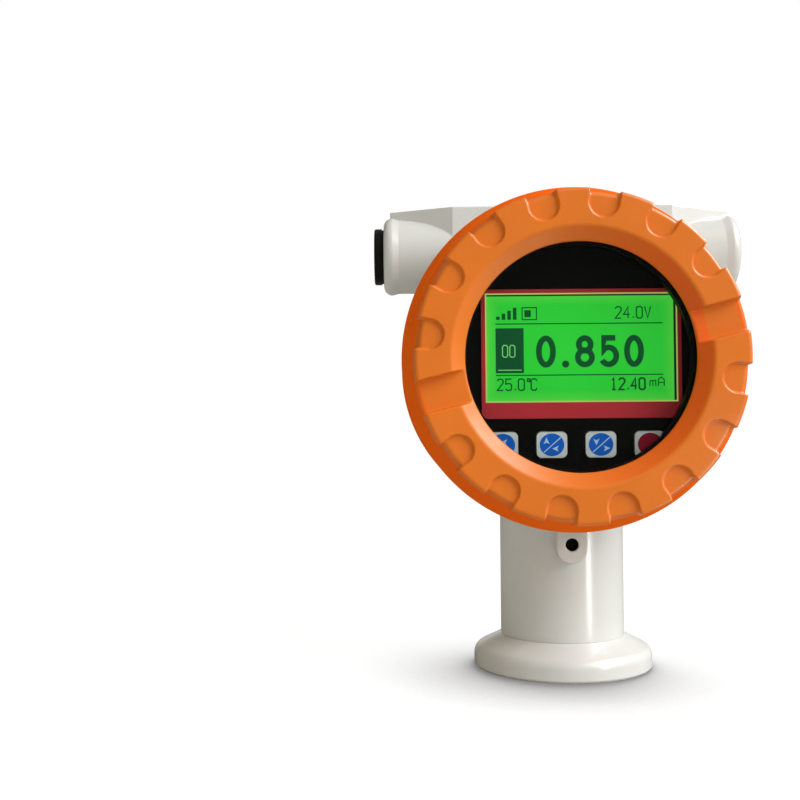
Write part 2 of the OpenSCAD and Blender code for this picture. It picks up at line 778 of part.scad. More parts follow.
module key_up() {
  key_cap(1);
}
module key_down() {
  key_cap(2);
}
module key_enter() {
  key_cap(3);
}
module plunger_left() {
  key_plunger(0);
}
module plunger_up() {
  key_plunger(1);
}
module plunger_down() {
  key_plunger(2);
}
module plunger_enter() {
  key_plunger(3);
}
module tact_switches() {
  color([0.25, 0.25, 0.26]) at_display() for (x = key_xs)
    translate([x, key_row_z, display_board_front_y]) difference() {
      translate([-switch_size / 2, -switch_size / 2, 0])
        cube([switch_size, switch_size, switch_top_y - display_board_front_y]);
      translate([0, 0, switch_well_y - display_board_front_y])
        cylinder(r = plunger_r + 0.25, h = switch_top_y - switch_well_y + 1);
    }
}

// Pillars and boards behind the faceplate
module front_pillars() {
  color(brass_gold) at_display() for (a = pillar_angles) rotate(a)
    translate([pillar_circle_r, 0, main_board_front_y]) difference() {
      union() {
        cylinder(d = pillar_d, h = plate_back_y - main_board_front_y);
        translate([0, 0, -board_t - stud_bite]) cylinder(r = screw_r, h = board_t + stud_bite + 1);
      }
      translate([0, 0, plate_back_y - main_board_front_y - screw_bite - 1])
        cylinder(r = stud_r, h = screw_bite + 2);
    }
}
module rear_pillars() {
  color(brass_gold) at_display() for (a = pillar_angles) rotate(a)
    translate([pillar_circle_r, 0, partition_front_y]) difference() {
      union() {
        cylinder(d = pillar_d, h = rear_pillar_len);
        translate([0, 0, -rear_stud_len]) cylinder(r = stud_r, h = rear_stud_len + 1);
      }
      translate([0, 0, rear_pillar_len - stud_hole]) cylinder(r = stud_r, h = stud_hole + 1);
    }
}
module main_board() {
  color(board_green) at_display() translate([0, 0, main_board_back_y]) difference() {
    cylinder(r = main_board_r, h = board_t);
    for (a = pillar_angles) rotate(a) translate([pillar_circle_r, 0, -1])
      cylinder(r = stud_r + stud_gap, h = board_t + 2);
  }
}
module on_board_front(x, z) {
  at_display() translate([x, z, main_board_front_y]) children();
}
module on_board_back(x, z) {
  at_display() translate([x, z, main_board_back_y]) mirror([0, 0, 1]) children();
}
module drive_transformer() {
  color([0.18, 0.17, 0.16]) on_board_front(core_x, core_z) {
    cylinder(r = coil_r, h = part_h - core_web / 2);
    translate([-core_w / 2, -core_l / 2, 0]) cube([core_w, core_l, core_web]);
    translate([-core_w / 2, -core_l / 2, part_h - core_web]) cube([core_w, core_l, core_web]);
    for (x = [-core_w / 2, core_w / 2 - core_web]) translate([x, -core_l / 2, 0])
      cube([core_web, core_l, part_h]);
  }
}
module filter_capacitors() {
  color([0.10, 0.13, 0.30]) for (x = can_xs) on_board_front(x, can_z) {
    cylinder(r = can_r, h = 4 * can_crimp);
    cylinder(r = can_r - can_crimp, h = 7 * can_crimp);
    translate([0, 0, 6 * can_crimp]) cylinder(r = can_r, h = part_h - 6 * can_crimp);
  }
}
module controller_chip() {
  color([0.10, 0.10, 0.11]) on_board_front(chip_x, chip_z) translate([-chip_w / 2, -chip_w / 2, 0])
    cube([chip_w, chip_w, chip_t]);
}
module display_header() {
  color([0.09, 0.09, 0.10]) on_board_front(0, display_header_z)
    translate([-display_header_w / 2, -display_header_l / 2, 0])
      cube([display_header_w, display_header_l, board_room]);
}
module lead_header() {
  color([0.90, 0.89, 0.84]) on_board_back(lead_x, -lead_header_drop)
    translate([-lead_header_w / 2, -header_l / 2, 0]) cube([lead_header_w, header_l, header_h]);
}
module supply_header() {
  color([0.90, 0.89, 0.84]) on_board_back(0, 0) translate([-supply_header_w / 2, -header_l / 2, 0])
    cube([supply_header_w, header_l, header_h]);
}
module supply_leads() {
  color([0.60, 0.12, 0.10]) for (x = supply_xs) on_board_back(x, 0) translate([0, 0, header_h])
    cylinder(r = supply_lead_r, h = main_board_back_y - header_h - partition_back_y);
}

// Field wiring terminals on the rear of the partition
module at_terminals() {
  translate([0, -partition_back_y, drum_axis_z]) rotate([-90, 0, 0]) children();
}
module at_block_screws() {
  at_terminals() for (x = [block_screw_inset - block_w / 2, block_w / 2 - block_screw_inset])
    translate([x, 0, 0]) children();
}
module terminal_block() {
  color([0.13, 0.24, 0.17]) difference() {
    at_terminals() translate([-block_w / 2, -block_h / 2, 0]) cube([block_w, block_h, block_t]);
    at_terminals() for (x = terminal_xs) {
      translate([x, -block_h / 5, block_t - terminal_well])
        cylinder(r = terminal_screw_r + stud_gap, h = terminal_well + 1);
      translate([x - wire_w / 2, block_h / 2 - wire_depth, wire_floor])
        cube([wire_w, wire_depth + 1, wire_h]);
    }
    at_block_screws() translate([0, 0, -1]) cylinder(r = block_screw_r + stud_gap, h = block_t + 2);
    at_block_screws() translate([0, 0, block_floor]) cylinder(r = block_head_r + 3 * stud_gap, h = block_t);
  }
}
module terminal_screws() {
  color(steel_grey) at_terminals() for (x = terminal_xs)
    translate([x, -block_h / 5, block_t - terminal_well]) difference() {
      cylinder(r = terminal_screw_r, h = terminal_screw_h);
      translate([-terminal_screw_r - 1, -screw_slot_w / 2, terminal_screw_h - screw_slot_h])
        cube([2 * terminal_screw_r + 2, screw_slot_w, 2 * screw_slot_h]);
    }
}
module block_screws() {
  color(steel_grey) at_block_screws() translate([0, 0, block_floor]) difference() {
    union() {
      cylinder(r = block_head_r, h = block_head_h);
      translate([0, 0, 2 * stud_gap - block_floor - block_screw_grip])
        cylinder(r = block_screw_r, h = block_floor + block_screw_grip);
    }
    translate([-block_head_r - 1, -screw_slot_w / 2, block_head_h - screw_slot_h])
      cube([2 * block_head_r + 2, screw_slot_w, 2 * screw_slot_h]);
  }
}

housing();
sensor_foot();
foot_o_ring();
transducer_face();
piezo_disc();
damping_block();
transducer_lead();
front_cover();
window_gasket();
window_glass();
window_retainer();
front_o_ring();
rear_cover();
rear_o_ring();
entry_plug();
plug_washer();
faceplate();
screen_frame();
lcd_panel();
lcd_backlight();
display_board();
key_left();
key_up();
key_down();
key_enter();
plunger_left();
plunger_up();
plunger_down();
plunger_enter();
tact_switches();
faceplate_screws();
front_pillars();
rear_pillars();
main_board();
drive_transformer();
filter_capacitors();
controller_chip();
display_header();
lead_header();
supply_header();
supply_leads();
terminal_block();
terminal_screws();
block_screws();
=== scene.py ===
import json
import math

import bpy
import numpy as np
from mathutils import Matrix, Vector


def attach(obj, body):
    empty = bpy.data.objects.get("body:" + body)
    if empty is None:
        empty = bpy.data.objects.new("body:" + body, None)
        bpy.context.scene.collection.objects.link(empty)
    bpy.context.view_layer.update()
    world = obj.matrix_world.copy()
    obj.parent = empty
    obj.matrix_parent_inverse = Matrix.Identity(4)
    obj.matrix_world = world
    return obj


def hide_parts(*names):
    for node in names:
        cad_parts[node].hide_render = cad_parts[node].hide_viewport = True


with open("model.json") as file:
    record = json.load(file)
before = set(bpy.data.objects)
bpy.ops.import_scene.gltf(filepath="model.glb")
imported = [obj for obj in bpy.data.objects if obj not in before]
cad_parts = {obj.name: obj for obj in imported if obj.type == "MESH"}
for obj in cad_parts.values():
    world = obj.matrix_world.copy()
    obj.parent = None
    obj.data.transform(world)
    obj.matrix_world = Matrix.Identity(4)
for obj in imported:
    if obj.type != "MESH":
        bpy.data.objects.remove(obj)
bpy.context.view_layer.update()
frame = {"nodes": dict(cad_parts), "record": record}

MM = 0.001

# Sizes in millimetres, as the solids have them
DRUM_Z, DRUM_R, NECK_R = 127.5, 60.0, 26.0
ENTRY_Z, ENTRY_END, ENTRY_PITCH = 174.8, 75.0, 1.5
MOUTH_Y, COVER_PITCH = 40.3, 2.0
SCREEN_X, SCREEN_Z = 2.2, 131.9
SCREEN_W, SCREEN_H = 73.5, 41.4
LCD_Y, FRAME_Y = -43.0, -45.6
KEY_Y, KEY_Z = -46.0, 94.2

# Where the housing and the covers are bare, where painted shade colours the earth hole and the window seat
# black, and where painted shade deepens the covers' bevel and side wall: limits in millimetres
COLLAR_REACH, COLLAR_SKIN, COLLAR_FROM = 58.8, 57.0, 40.15
ENTRY_REACH, ENTRY_FROM = 9.5, 40.0
EARTH_Z, EARTH_REACH, EARTH_FRONT = 53.8, 2.6, -21.0
WALL_REACH, WALL_DEPTH = 59.0, 17.3
THREAD_LOW, THREAD_HIGH = 58.5, 58.9
SEAT_REACH, SEAT_DEPTH = 48.5, 7.2
BEVEL_FADE, BEVEL_ACROSS = (49.0, 48.2), (-15.0, 35.0)
SIDE_DEPTH, SIDE_REACH = (21.0, 17.0), (60.6, 61.4)
GLASS_RIM = (42.0, 48.0)
GLASS_TINT, GLASS_SHEEN = (0.965, 0.985, 0.975, 1.0), (1.0, 1.0, 1.0, 1.0)

# Scales of the coat's noises: tone, flecks, gloss, orange peel, slow waves and the turned metal's grain
TONE, FLECK, GLOSS, PEEL, WAVES, GRAIN = 33.0, 2600.0, 60.0, 650.0, 45.0, 900.0
TURNED_DARK, TURNED_PALE = (0.3, 0.305, 0.31, 1.0), (0.4, 0.405, 0.41, 1.0)
# Painted shade: black for the earth hole and for the front cover's window seat
PAINTED_SHADE_BLACK = (0.012, 0.012, 0.011, 1.0)
PAD_TIN = (0.55, 0.55, 0.5, 1.0)


# Node materials

class Nodes:
    """Adds and links shader nodes in one tree."""

    def __init__(self, tree):
        self.tree = tree
        tree.nodes.clear()

    def new(self, kind, inputs=None, **props):
        node = self.tree.nodes.new("ShaderNode" + kind)
        for key, value in props.items():
            setattr(node, key, value)
        for key, value in (inputs or {}).items():
            if isinstance(value, bpy.types.NodeSocket):
                self.tree.links.new(value, node.inputs[key])
            else:
                node.inputs[key].default_value = value
        return node

    def math(self, operation, a, b=0.0):
        return self.new("Math", {0: a, 1: b}, operation=operation).outputs[0]

    def mix(self, factor, a, b):
        return self.new("Mix", {0: factor, 6: a, 7: b}, data_type="RGBA").outputs[2]

    def noise(self, where, scale, detail=2.0):
        inputs = {"Vector": where, "Scale": scale, "Detail": detail}
        return self.new("TexNoise", inputs).outputs["Fac"]

    def spread(self, value, low, high, to_low=0.0, to_high=1.0):
        inputs = {"Value": value, "From Min": low, "From Max": high, "To Min": to_low, "To Max": to_high}
        return self.new("MapRange", inputs).outputs["Result"]

    def fade(self, value, limits):
        """From 0 to 1 between two limits in millimetres."""
        return self.spread(value, limits[0] * MM, limits[1] * MM)

    def place(self):
        """The place on the object, and its x, y and z."""
        where = self.new("TexCoord").outputs["Object"]
        parts = self.new("SeparateXYZ", {"Vector": where}).outputs
        return where, parts[0], parts[1], parts[2]

    def radius(self, a, b):
        total = self.math("ADD", self.math("MULTIPLY", a, a), self.math("MULTIPLY", b, b))
        return self.math("SQRT", total)

    def below(self, value, limit):
        return self.math("LESS_THAN", value, limit)

    def above(self, value, limit):
        return self.math("GREATER_THAN", value, limit)

    def both(self, a, b):
        return self.math("MULTIPLY", a, b)

    def bump(self, height, strength, distance, normal=None):
        inputs = {"Height": height, "Strength": strength, "Distance": distance}
        if normal is not None:
            inputs["Normal"] = normal
        return self.new("Bump", inputs).outputs["Normal"]

    def principled(self, inputs):
        return self.new("BsdfPrincipled", inputs).outputs[0]

    def finish(self, shader):
        self.new("OutputMaterial", {"Surface": shader})


def start(name):
    material = bpy.data.materials.new(name)
    material.use_nodes = True
    return material, Nodes(material.node_tree)


def shade(rgb, k):
    return tuple(min(1.0, c * k) for c in rgb[:3]) + (1.0,)


def srgb(r, g, b):
    return tuple(
        (c / 255 / 12.92 if c <= 10 else ((c / 255 + 0.055) / 1.055) ** 2.4) for c in (r, g, b)
    ) + (1.0,)


def paint(name, rgb, rough, peel, edge, sheen, machined=None, shade_tones=None):
    """Powder coat on a casting: drifting tone, orange peel, soft edges, and bare metal where machined; the
    earth hole and the window seat are coloured black as painted shade.

    On a screw cover, painted shade makes the coat deeper in tone at the front cover's bevel, more so towards
    its right, and deeper on the side wall, which is also dull.
    """
    material, n = start(name)
    where, x, y, z = n.place()
    drift = n.noise(where, TONE, 3.0)
    color = n.mix(n.spread(drift, 0.3, 0.7), shade(rgb, 0.955), shade(rgb, 1.03))
    # Painted shade: the cover's bevel and side wall take deeper, redder oranges
    if shade_tones is not None:
        bevel, side = cover_painted_shade(n, x, y, z)
        color = n.mix(bevel, color, shade_tones[0])
        color = n.mix(side, color, shade_tones[1])
        sheen = n.spread(side, 0.0, 1.0, sheen, 0.0)
    fleck = n.noise(where, FLECK, 1.0)
    color = n.mix(n.spread(fleck, 0.42, 0.58, 0.0, 0.06), color, shade(rgb, 0.7))
    roughness = n.spread(n.noise(where, GLOSS), 0.3, 0.7, rough * 0.88, rough * 1.15)
    soft = n.new("Bevel", {"Radius": edge}, samples=6).outputs["Normal"]
    normal = n.bump(n.noise(where, PEEL), peel, 0.0004, soft)
    normal = n.bump(n.noise(where, WAVES), peel * 0.2, 0.0012, normal)
    coat = n.principled(
        {"Base Color": color, "Roughness": roughness, "Normal": normal, "Specular IOR Level": sheen}
    )
    if machined is not None:
        # Where dark is 1 the colour is painted shade: black, not metal
        mask, turns, dark = machined(n, x, y, z)
        grain = n.noise(where, GRAIN)
        bare = n.principled(
            {
                "Base Color": n.mix(dark, n.mix(grain, TURNED_DARK, TURNED_PALE), PAINTED_SHADE_BLACK),
                "Metallic": n.math("SUBTRACT", 1.0, dark),
                "Roughness": n.spread(grain, 0.3, 0.7, 0.54, 0.64),
                "Normal": n.bump(turns, 0.9, 0.0004),
            }
        )
        coat = n.new("MixShader", {0: mask, 1: coat, 2: bare}).outputs[0]
    n.finish(coat)
    return material


def thread_wave(n, along):
    """Height of a cover thread's turns along its axis."""
    return n.math("SINE", n.math("MULTIPLY", along, 2 * math.pi / (COVER_PITCH * MM)))


def drum_radius(n, x, z):
    return n.radius(x, n.math("SUBTRACT", z, DRUM_Z * MM))


def cover_depth(n, y):
    """Depth in a screw cover, from its mouth towards its face."""
    return n.math("SUBTRACT", n.math("ABSOLUTE", y), MOUTH_Y * MM)


def housing_machining(n, x, y, z):
    """The bare collars with their threads, the bare entry bores, and the earth hole, coloured black as
    painted shade.
    """
    drum_r = drum_radius(n, x, z)
    collar = n.both(n.below(drum_r, COLLAR_REACH * MM), n.above(n.math("ABSOLUTE", y), COLLAR_FROM * MM))
    entry_r = n.radius(y, n.math("SUBTRACT", z, ENTRY_Z * MM))
    entry = n.both(n.below(entry_r, ENTRY_REACH * MM), n.above(n.math("ABSOLUTE", x), ENTRY_FROM * MM))
    # Painted shade: the earth hole is coloured black
    earth_r = n.radius(x, n.math("SUBTRACT", z, EARTH_Z * MM))
    earth = n.both(n.below(earth_r, EARTH_REACH * MM), n.below(y, EARTH_FRONT * MM))
    mask = n.math("MAXIMUM", n.math("MAXIMUM", collar, entry), earth)
    outside = n.both(collar, n.above(drum_r, COLLAR_SKIN * MM))
    return mask, n.both(outside, thread_wave(n, y)), earth


def cover_machining(n, x, y, z):
    """Inside thread and window seat of a screw cover; the front cover's window seat is coloured black as
    painted shade.
    """
    drum_r, depth = drum_radius(n, x, z), cover_depth(n, y)
    wall = n.both(n.below(drum_r, WALL_REACH * MM), n.below(depth, WALL_DEPTH * MM))
    inside = n.both(n.below(drum_r, THREAD_HIGH * MM), n.above(drum_r, THREAD_LOW * MM))
    # Painted shade: the front cover's window seat is coloured black
    seat = n.both(n.below(drum_r, SEAT_REACH * MM), n.above(depth, SEAT_DEPTH * MM))
    return wall, n.both(inside, thread_wave(n, y)), n.both(seat, n.below(y, 0.0))


def cover_painted_shade(n, x, y, z):
    """Painted shade on a screw cover: the bevel round the front cover's window, stronger towards the right,
    and the side wall.
    """
    drum_r, depth = drum_radius(n, x, z), cover_depth(n, y)
    bevel = n.both(n.fade(drum_r, BEVEL_FADE), n.fade(x, BEVEL_ACROSS))
    side = n.both(n.fade(depth, SIDE_DEPTH), n.fade(drum_r, SIDE_REACH))
    return n.both(bevel, n.below(y, 0.0)), side


def plastic(name, rgb, rough, grain=0.08, scale=700.0, vary=0.12, sheen=0.4):
    """Moulded plastic or rubber with a fine grain and a slight mottle."""
    material, n = start(name)
    where = n.place()[0]
    mottle = n.noise(where, 90.0, 3.0)
    color = n.mix(mottle, shade(rgb, 1.0 - vary), shade(rgb, 1.0 + vary))
    normal = n.bump(n.noise(where, scale, 2.0), grain, 0.0003)
    n.finish(
        n.principled(
            {
                "Base Color": color,
                "Roughness": n.spread(mottle, 0.3, 0.7, rough * 0.9, rough * 1.12),
                "Specular IOR Level": sheen,
                "Normal": normal,
            }
        )
    )
    return material


def metal(name, rgb, rough, stretch):
    """Turned or brushed metal: fine lines across one axis."""
    material, n = start(name)
    where = n.place()[0]
    lined = n.new("Mapping", {"Vector": where, "Scale": stretch}).outputs[0]
    lines = n.noise(lined, 400.0, 3.0)
    color = n.mix(lines, shade(rgb, 0.86), shade(rgb, 1.08))
    n.finish(
        n.principled(
            {
                "Base Color": color,
                "Metallic": 1.0,
                "Roughness": n.spread(lines, 0.3, 0.7, rough * 0.8, rough * 1.25),
                "Normal": n.bump(lines, 0.15, 0.0002),
            }
        )
    )
    return material


def board(name, rgb):
    """Solder mask with lighter tracks and tinned pads."""
    material, n = start(name)
    where = n.place()[0]
    tracks = n.new(
        "TexBrick",
        {
            "Vector": where,
            "Scale": 160.0,
            "Mortar Size": 0.03,
            "Color1": shade(rgb, 0.8),
            "Color2": shade(rgb, 1.0),
            "Mortar": shade(rgb, 2.2),
        },
    ).outputs["Color"]
    dots = n.new("TexVoronoi", {"Vector": where, "Scale": 330.0}).outputs["Distance"]
    pads = n.below(dots, 0.16)
    n.finish(
        n.principled(
            {
                "Base Color": n.mix(pads, tracks, PAD_TIN),
                "Roughness": n.spread(dots, 0.0, 0.6, 0.25, 0.4),
                "Metallic": n.both(pads, 0.8),
            }
        )
    )
    return material


def glass(name):
    """Toughened window glass: clear, with a faint sheen that is stronger at the rim."""
    material, n = start(name)
    where, x, _, z = n.place()
    clear = n.new("BsdfTransparent", {"Color": GLASS_TINT}).outputs[0]
    smear = n.spread(n.noise(where, 22.0, 4.0), 0.35, 0.75, 0.02, 0.08)
    sheen = n.new("BsdfGlossy", {"Color": GLASS_SHEEN, "Roughness": smear}).outputs[0]
    share = n.spread(drum_radius(n, x, z), GLASS_RIM[0] * MM, GLASS_RIM[1] * MM, 0.004, 0.03)
    n.finish(n.new("MixShader", {0: share, 1: clear, 2: sheen}).outputs[0])
    return material


def lit_film(name, rgb, glow, rough, uneven, rim=None):
    """A lit layer of the display with a slightly uneven backlight, and its own tone along a rim."""
    material, n = start(name)
    where, x, _, z = n.place()
    cloud = n.noise(where, 40.0, 3.0)
    across = n.math("SUBTRACT", x, SCREEN_X * MM)
    up = n.math("SUBTRACT", z, SCREEN_Z * MM)
    far = n.radius(across, n.math("MULTIPLY", up, 1.5))
    level = n.spread(far, 0.0, 40.0 * MM, 1.0 + uneven, 1.0 - uneven)
    level = n.math("MULTIPLY", level, n.spread(cloud, 0.3, 0.7, 1.0 - uneven / 2, 1.0 + uneven / 2))
    level = n.math("MULTIPLY", level, n.spread(across, -35.0 * MM, 35.0 * MM, 1.0 + uneven, 1.0 - uneven))
    lit = rgb
    if rim is not None:
        wide = n.spread(n.math("ABSOLUTE", across), (SCREEN_W / 2 - 5.0) * MM, SCREEN_W / 2 * MM)
        high = n.spread(n.math("ABSOLUTE", up), (SCREEN_H / 2 - 4.0) * MM, SCREEN_H / 2 * MM)
        lit = n.mix(n.math("MULTIPLY", n.math("MAXIMUM", wide, high), 0.6), rgb, rim)
    n.finish(
        n.principled(
            {
                "Base Color": n.mix(cloud, shade(rgb, 0.05), shade(rgb, 0.07)),
                "Roughness": rough,
                "Specular IOR Level": 0.04,
                "Emission Color": lit,
                "Emission Strength": n.math("MULTIPLY", level, glow),
            }
        )
    )
    return material


ORANGE = srgb(233, 123, 35)
# Painted shade: deeper, redder oranges for the covers' bevel and side wall
BEVEL_SHADE_ORANGE = srgb(244, 106, 26)
SIDE_SHADE_ORANGE = srgb(252, 108, 26)
WHITE = srgb(221, 223, 219)
WHITE_ROUGH, WHITE_PEEL, WHITE_EDGE, WHITE_SHEEN = 0.23, 0.02, 0.0008, 0.5
MATERIALS = {
    "white_paint": paint("white_paint", WHITE, WHITE_ROUGH, WHITE_PEEL, WHITE_EDGE, WHITE_SHEEN,
                         housing_machining),
    "orange_paint": paint("orange_paint", ORANGE, 0.4, 0.06, 0.0004, 0.22, cover_machining,
                          (BEVEL_SHADE_ORANGE, SIDE_SHADE_ORANGE)),
    "black_rubber": plastic("black_rubber", srgb(15, 15, 13), 0.6, sheen=0.2),
    "steel": metal("steel", (0.55, 0.56, 0.57, 1.0), 0.3, (1.0, 1.0, 14.0)),
    "black_anodised": plastic("black_anodised", srgb(16, 16, 16), 0.5, 0.1, 1200.0, sheen=0.1),
    "ceramic": plastic("ceramic", (0.6, 0.5, 0.33, 1.0), 0.5),
    "dark_resin": plastic("dark_resin", (0.03, 0.03, 0.032, 1.0), 0.5),
    "clear_glass": glass("clear_glass"),
    "black_plastic": plastic("black_plastic", srgb(12, 12, 10), 0.42, 0.12, 900.0, sheen=0.2),
    "black_gloss": plastic("black_gloss", srgb(6, 6, 5), 0.5, 0.03, sheen=0.03),
    "red_film": plastic("red_film", srgb(186, 48, 58), 0.4, 0.03, 900.0, 0.06, 0.1),
    "screen_green": lit_film("screen_green", srgb(46, 200, 56), 0.95, 0.35, 0.07, srgb(96, 214, 72)),
    "white_plastic": plastic("white_plastic", (0.75, 0.75, 0.7, 1.0), 0.45),
    "board_green": board("board_green", (0.01, 0.1, 0.03, 1.0)),
    "key_cap": plastic("key_cap", srgb(206, 212, 214), 0.32, 0.04, 900.0, 0.04, 0.15),
    "brass": metal("brass", (0.62, 0.4, 0.12, 1.0), 0.3, (1.0, 10.0, 1.0)),
    "capacitor_sleeve": plastic("capacitor_sleeve", (0.01, 0.015, 0.08, 1.0), 0.35),
    "red_wire": plastic("red_wire", (0.35, 0.01, 0.01, 1.0), 0.4),
    "terminal_green": plastic("terminal_green", (0.015, 0.06, 0.025, 1.0), 0.45),
}
for part in frame["record"]["subparts"]:
    slots = frame["nodes"][part["node"]].data.materials
    slots.clear()
    slots.append(MATERIALS[part["material_slot"]])


# Mesh pieces: the covers' castings, the neck's blend, the threads and the printed signs

def piece(name, points, faces, material, body, sharp=None):
    """A mesh piece from points in millimetres in the row frame."""
    mesh = bpy.data.meshes.new(name)
    mesh.from_pydata((np.asarray(points, float) * MM).tolist(), [], faces)
    mesh.materials.append(material)
    if sharp is not None:
        mesh.shade_smooth()
        mesh.set_sharp_from_angle(angle=math.radians(sharp))
    mesh.update()
    obj = bpy.data.objects.new(name, mesh)
    bpy.context.scene.collection.objects.link(obj)
    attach(obj, body)
    return obj


def step(value, start_at, end_at):
    t = np.clip((value - start_at) / (end_at - start_at), 0.0, 1.0)
    return t * t * (3.0 - 2.0 * t)


# Screw covers. Each is one closed casting, turned about the drum axis: stations run along its profile and
# every station is a ring of points. Local z runs from the mouth to the face.
DEPTH = 23.4
RIM_R, FACE_R, LUG_R = 67.7, 61.2, 63.2
RIM_TOP, LUG_FOOT, LUG_FOOT_R = 2.4, 13.4, 63.8
BEVEL_R, WINDOW_R, LAND = 49.0, 43.7, 18.6
POCKET_HALF, POCKET_DEEP, POCKET_ROUND_R = 5.7, 1.4, 58.2
SLOT_HALF, SLOT_DEEP, SLOT_FROM = 6.15, 4.4, 41.7
PLACES = 16
EDGE, LIP, RIM_ROUND = 1.6, 0.9, 1.2
POCKET_SOFT, SLOT_SOFT = 0.3, 0.6
LUG_LOW, LUG_FADE, TAPER_LOW = 11.5, 2.5, 4.0
# Inside: mouth, seal groove, thread bore, ledge, and then the window's seat or the blind wall
IN_MOUTH_R, GROOVE_R, BORE_R, LEDGE_R, SEAT_R = 59.1, 62.05, 58.8, 52.0, 48.3
GROOVE_FROM, GROOVE_TO, BORE_END, NOSE_Z, SEAT_Z, WALL_Z = 1.2, 4.6, 17.2, 7.0, 17.6, 16.0
# The blind face has a raised medal, and closes on a small ring at the axis
MEDAL_R, MEDAL_FOOT_R, MEDAL_HIGH, AXIS_R = 21.0, 21.3, 0.6, 0.02
# Angles within one place: close together across a pocket or slot, wide apart between
NEAR_HALF = 8.6
NEAR = np.linspace(-NEAR_HALF, NEAR_HALF, 61)
FAR = np.linspace(NEAR_HALF, 360.0 / PLACES - NEAR_HALF, 8)[1:-1]
OFFSETS = np.radians(np.concatenate([NEAR, FAR]))
RING = PLACES * len(OFFSETS)


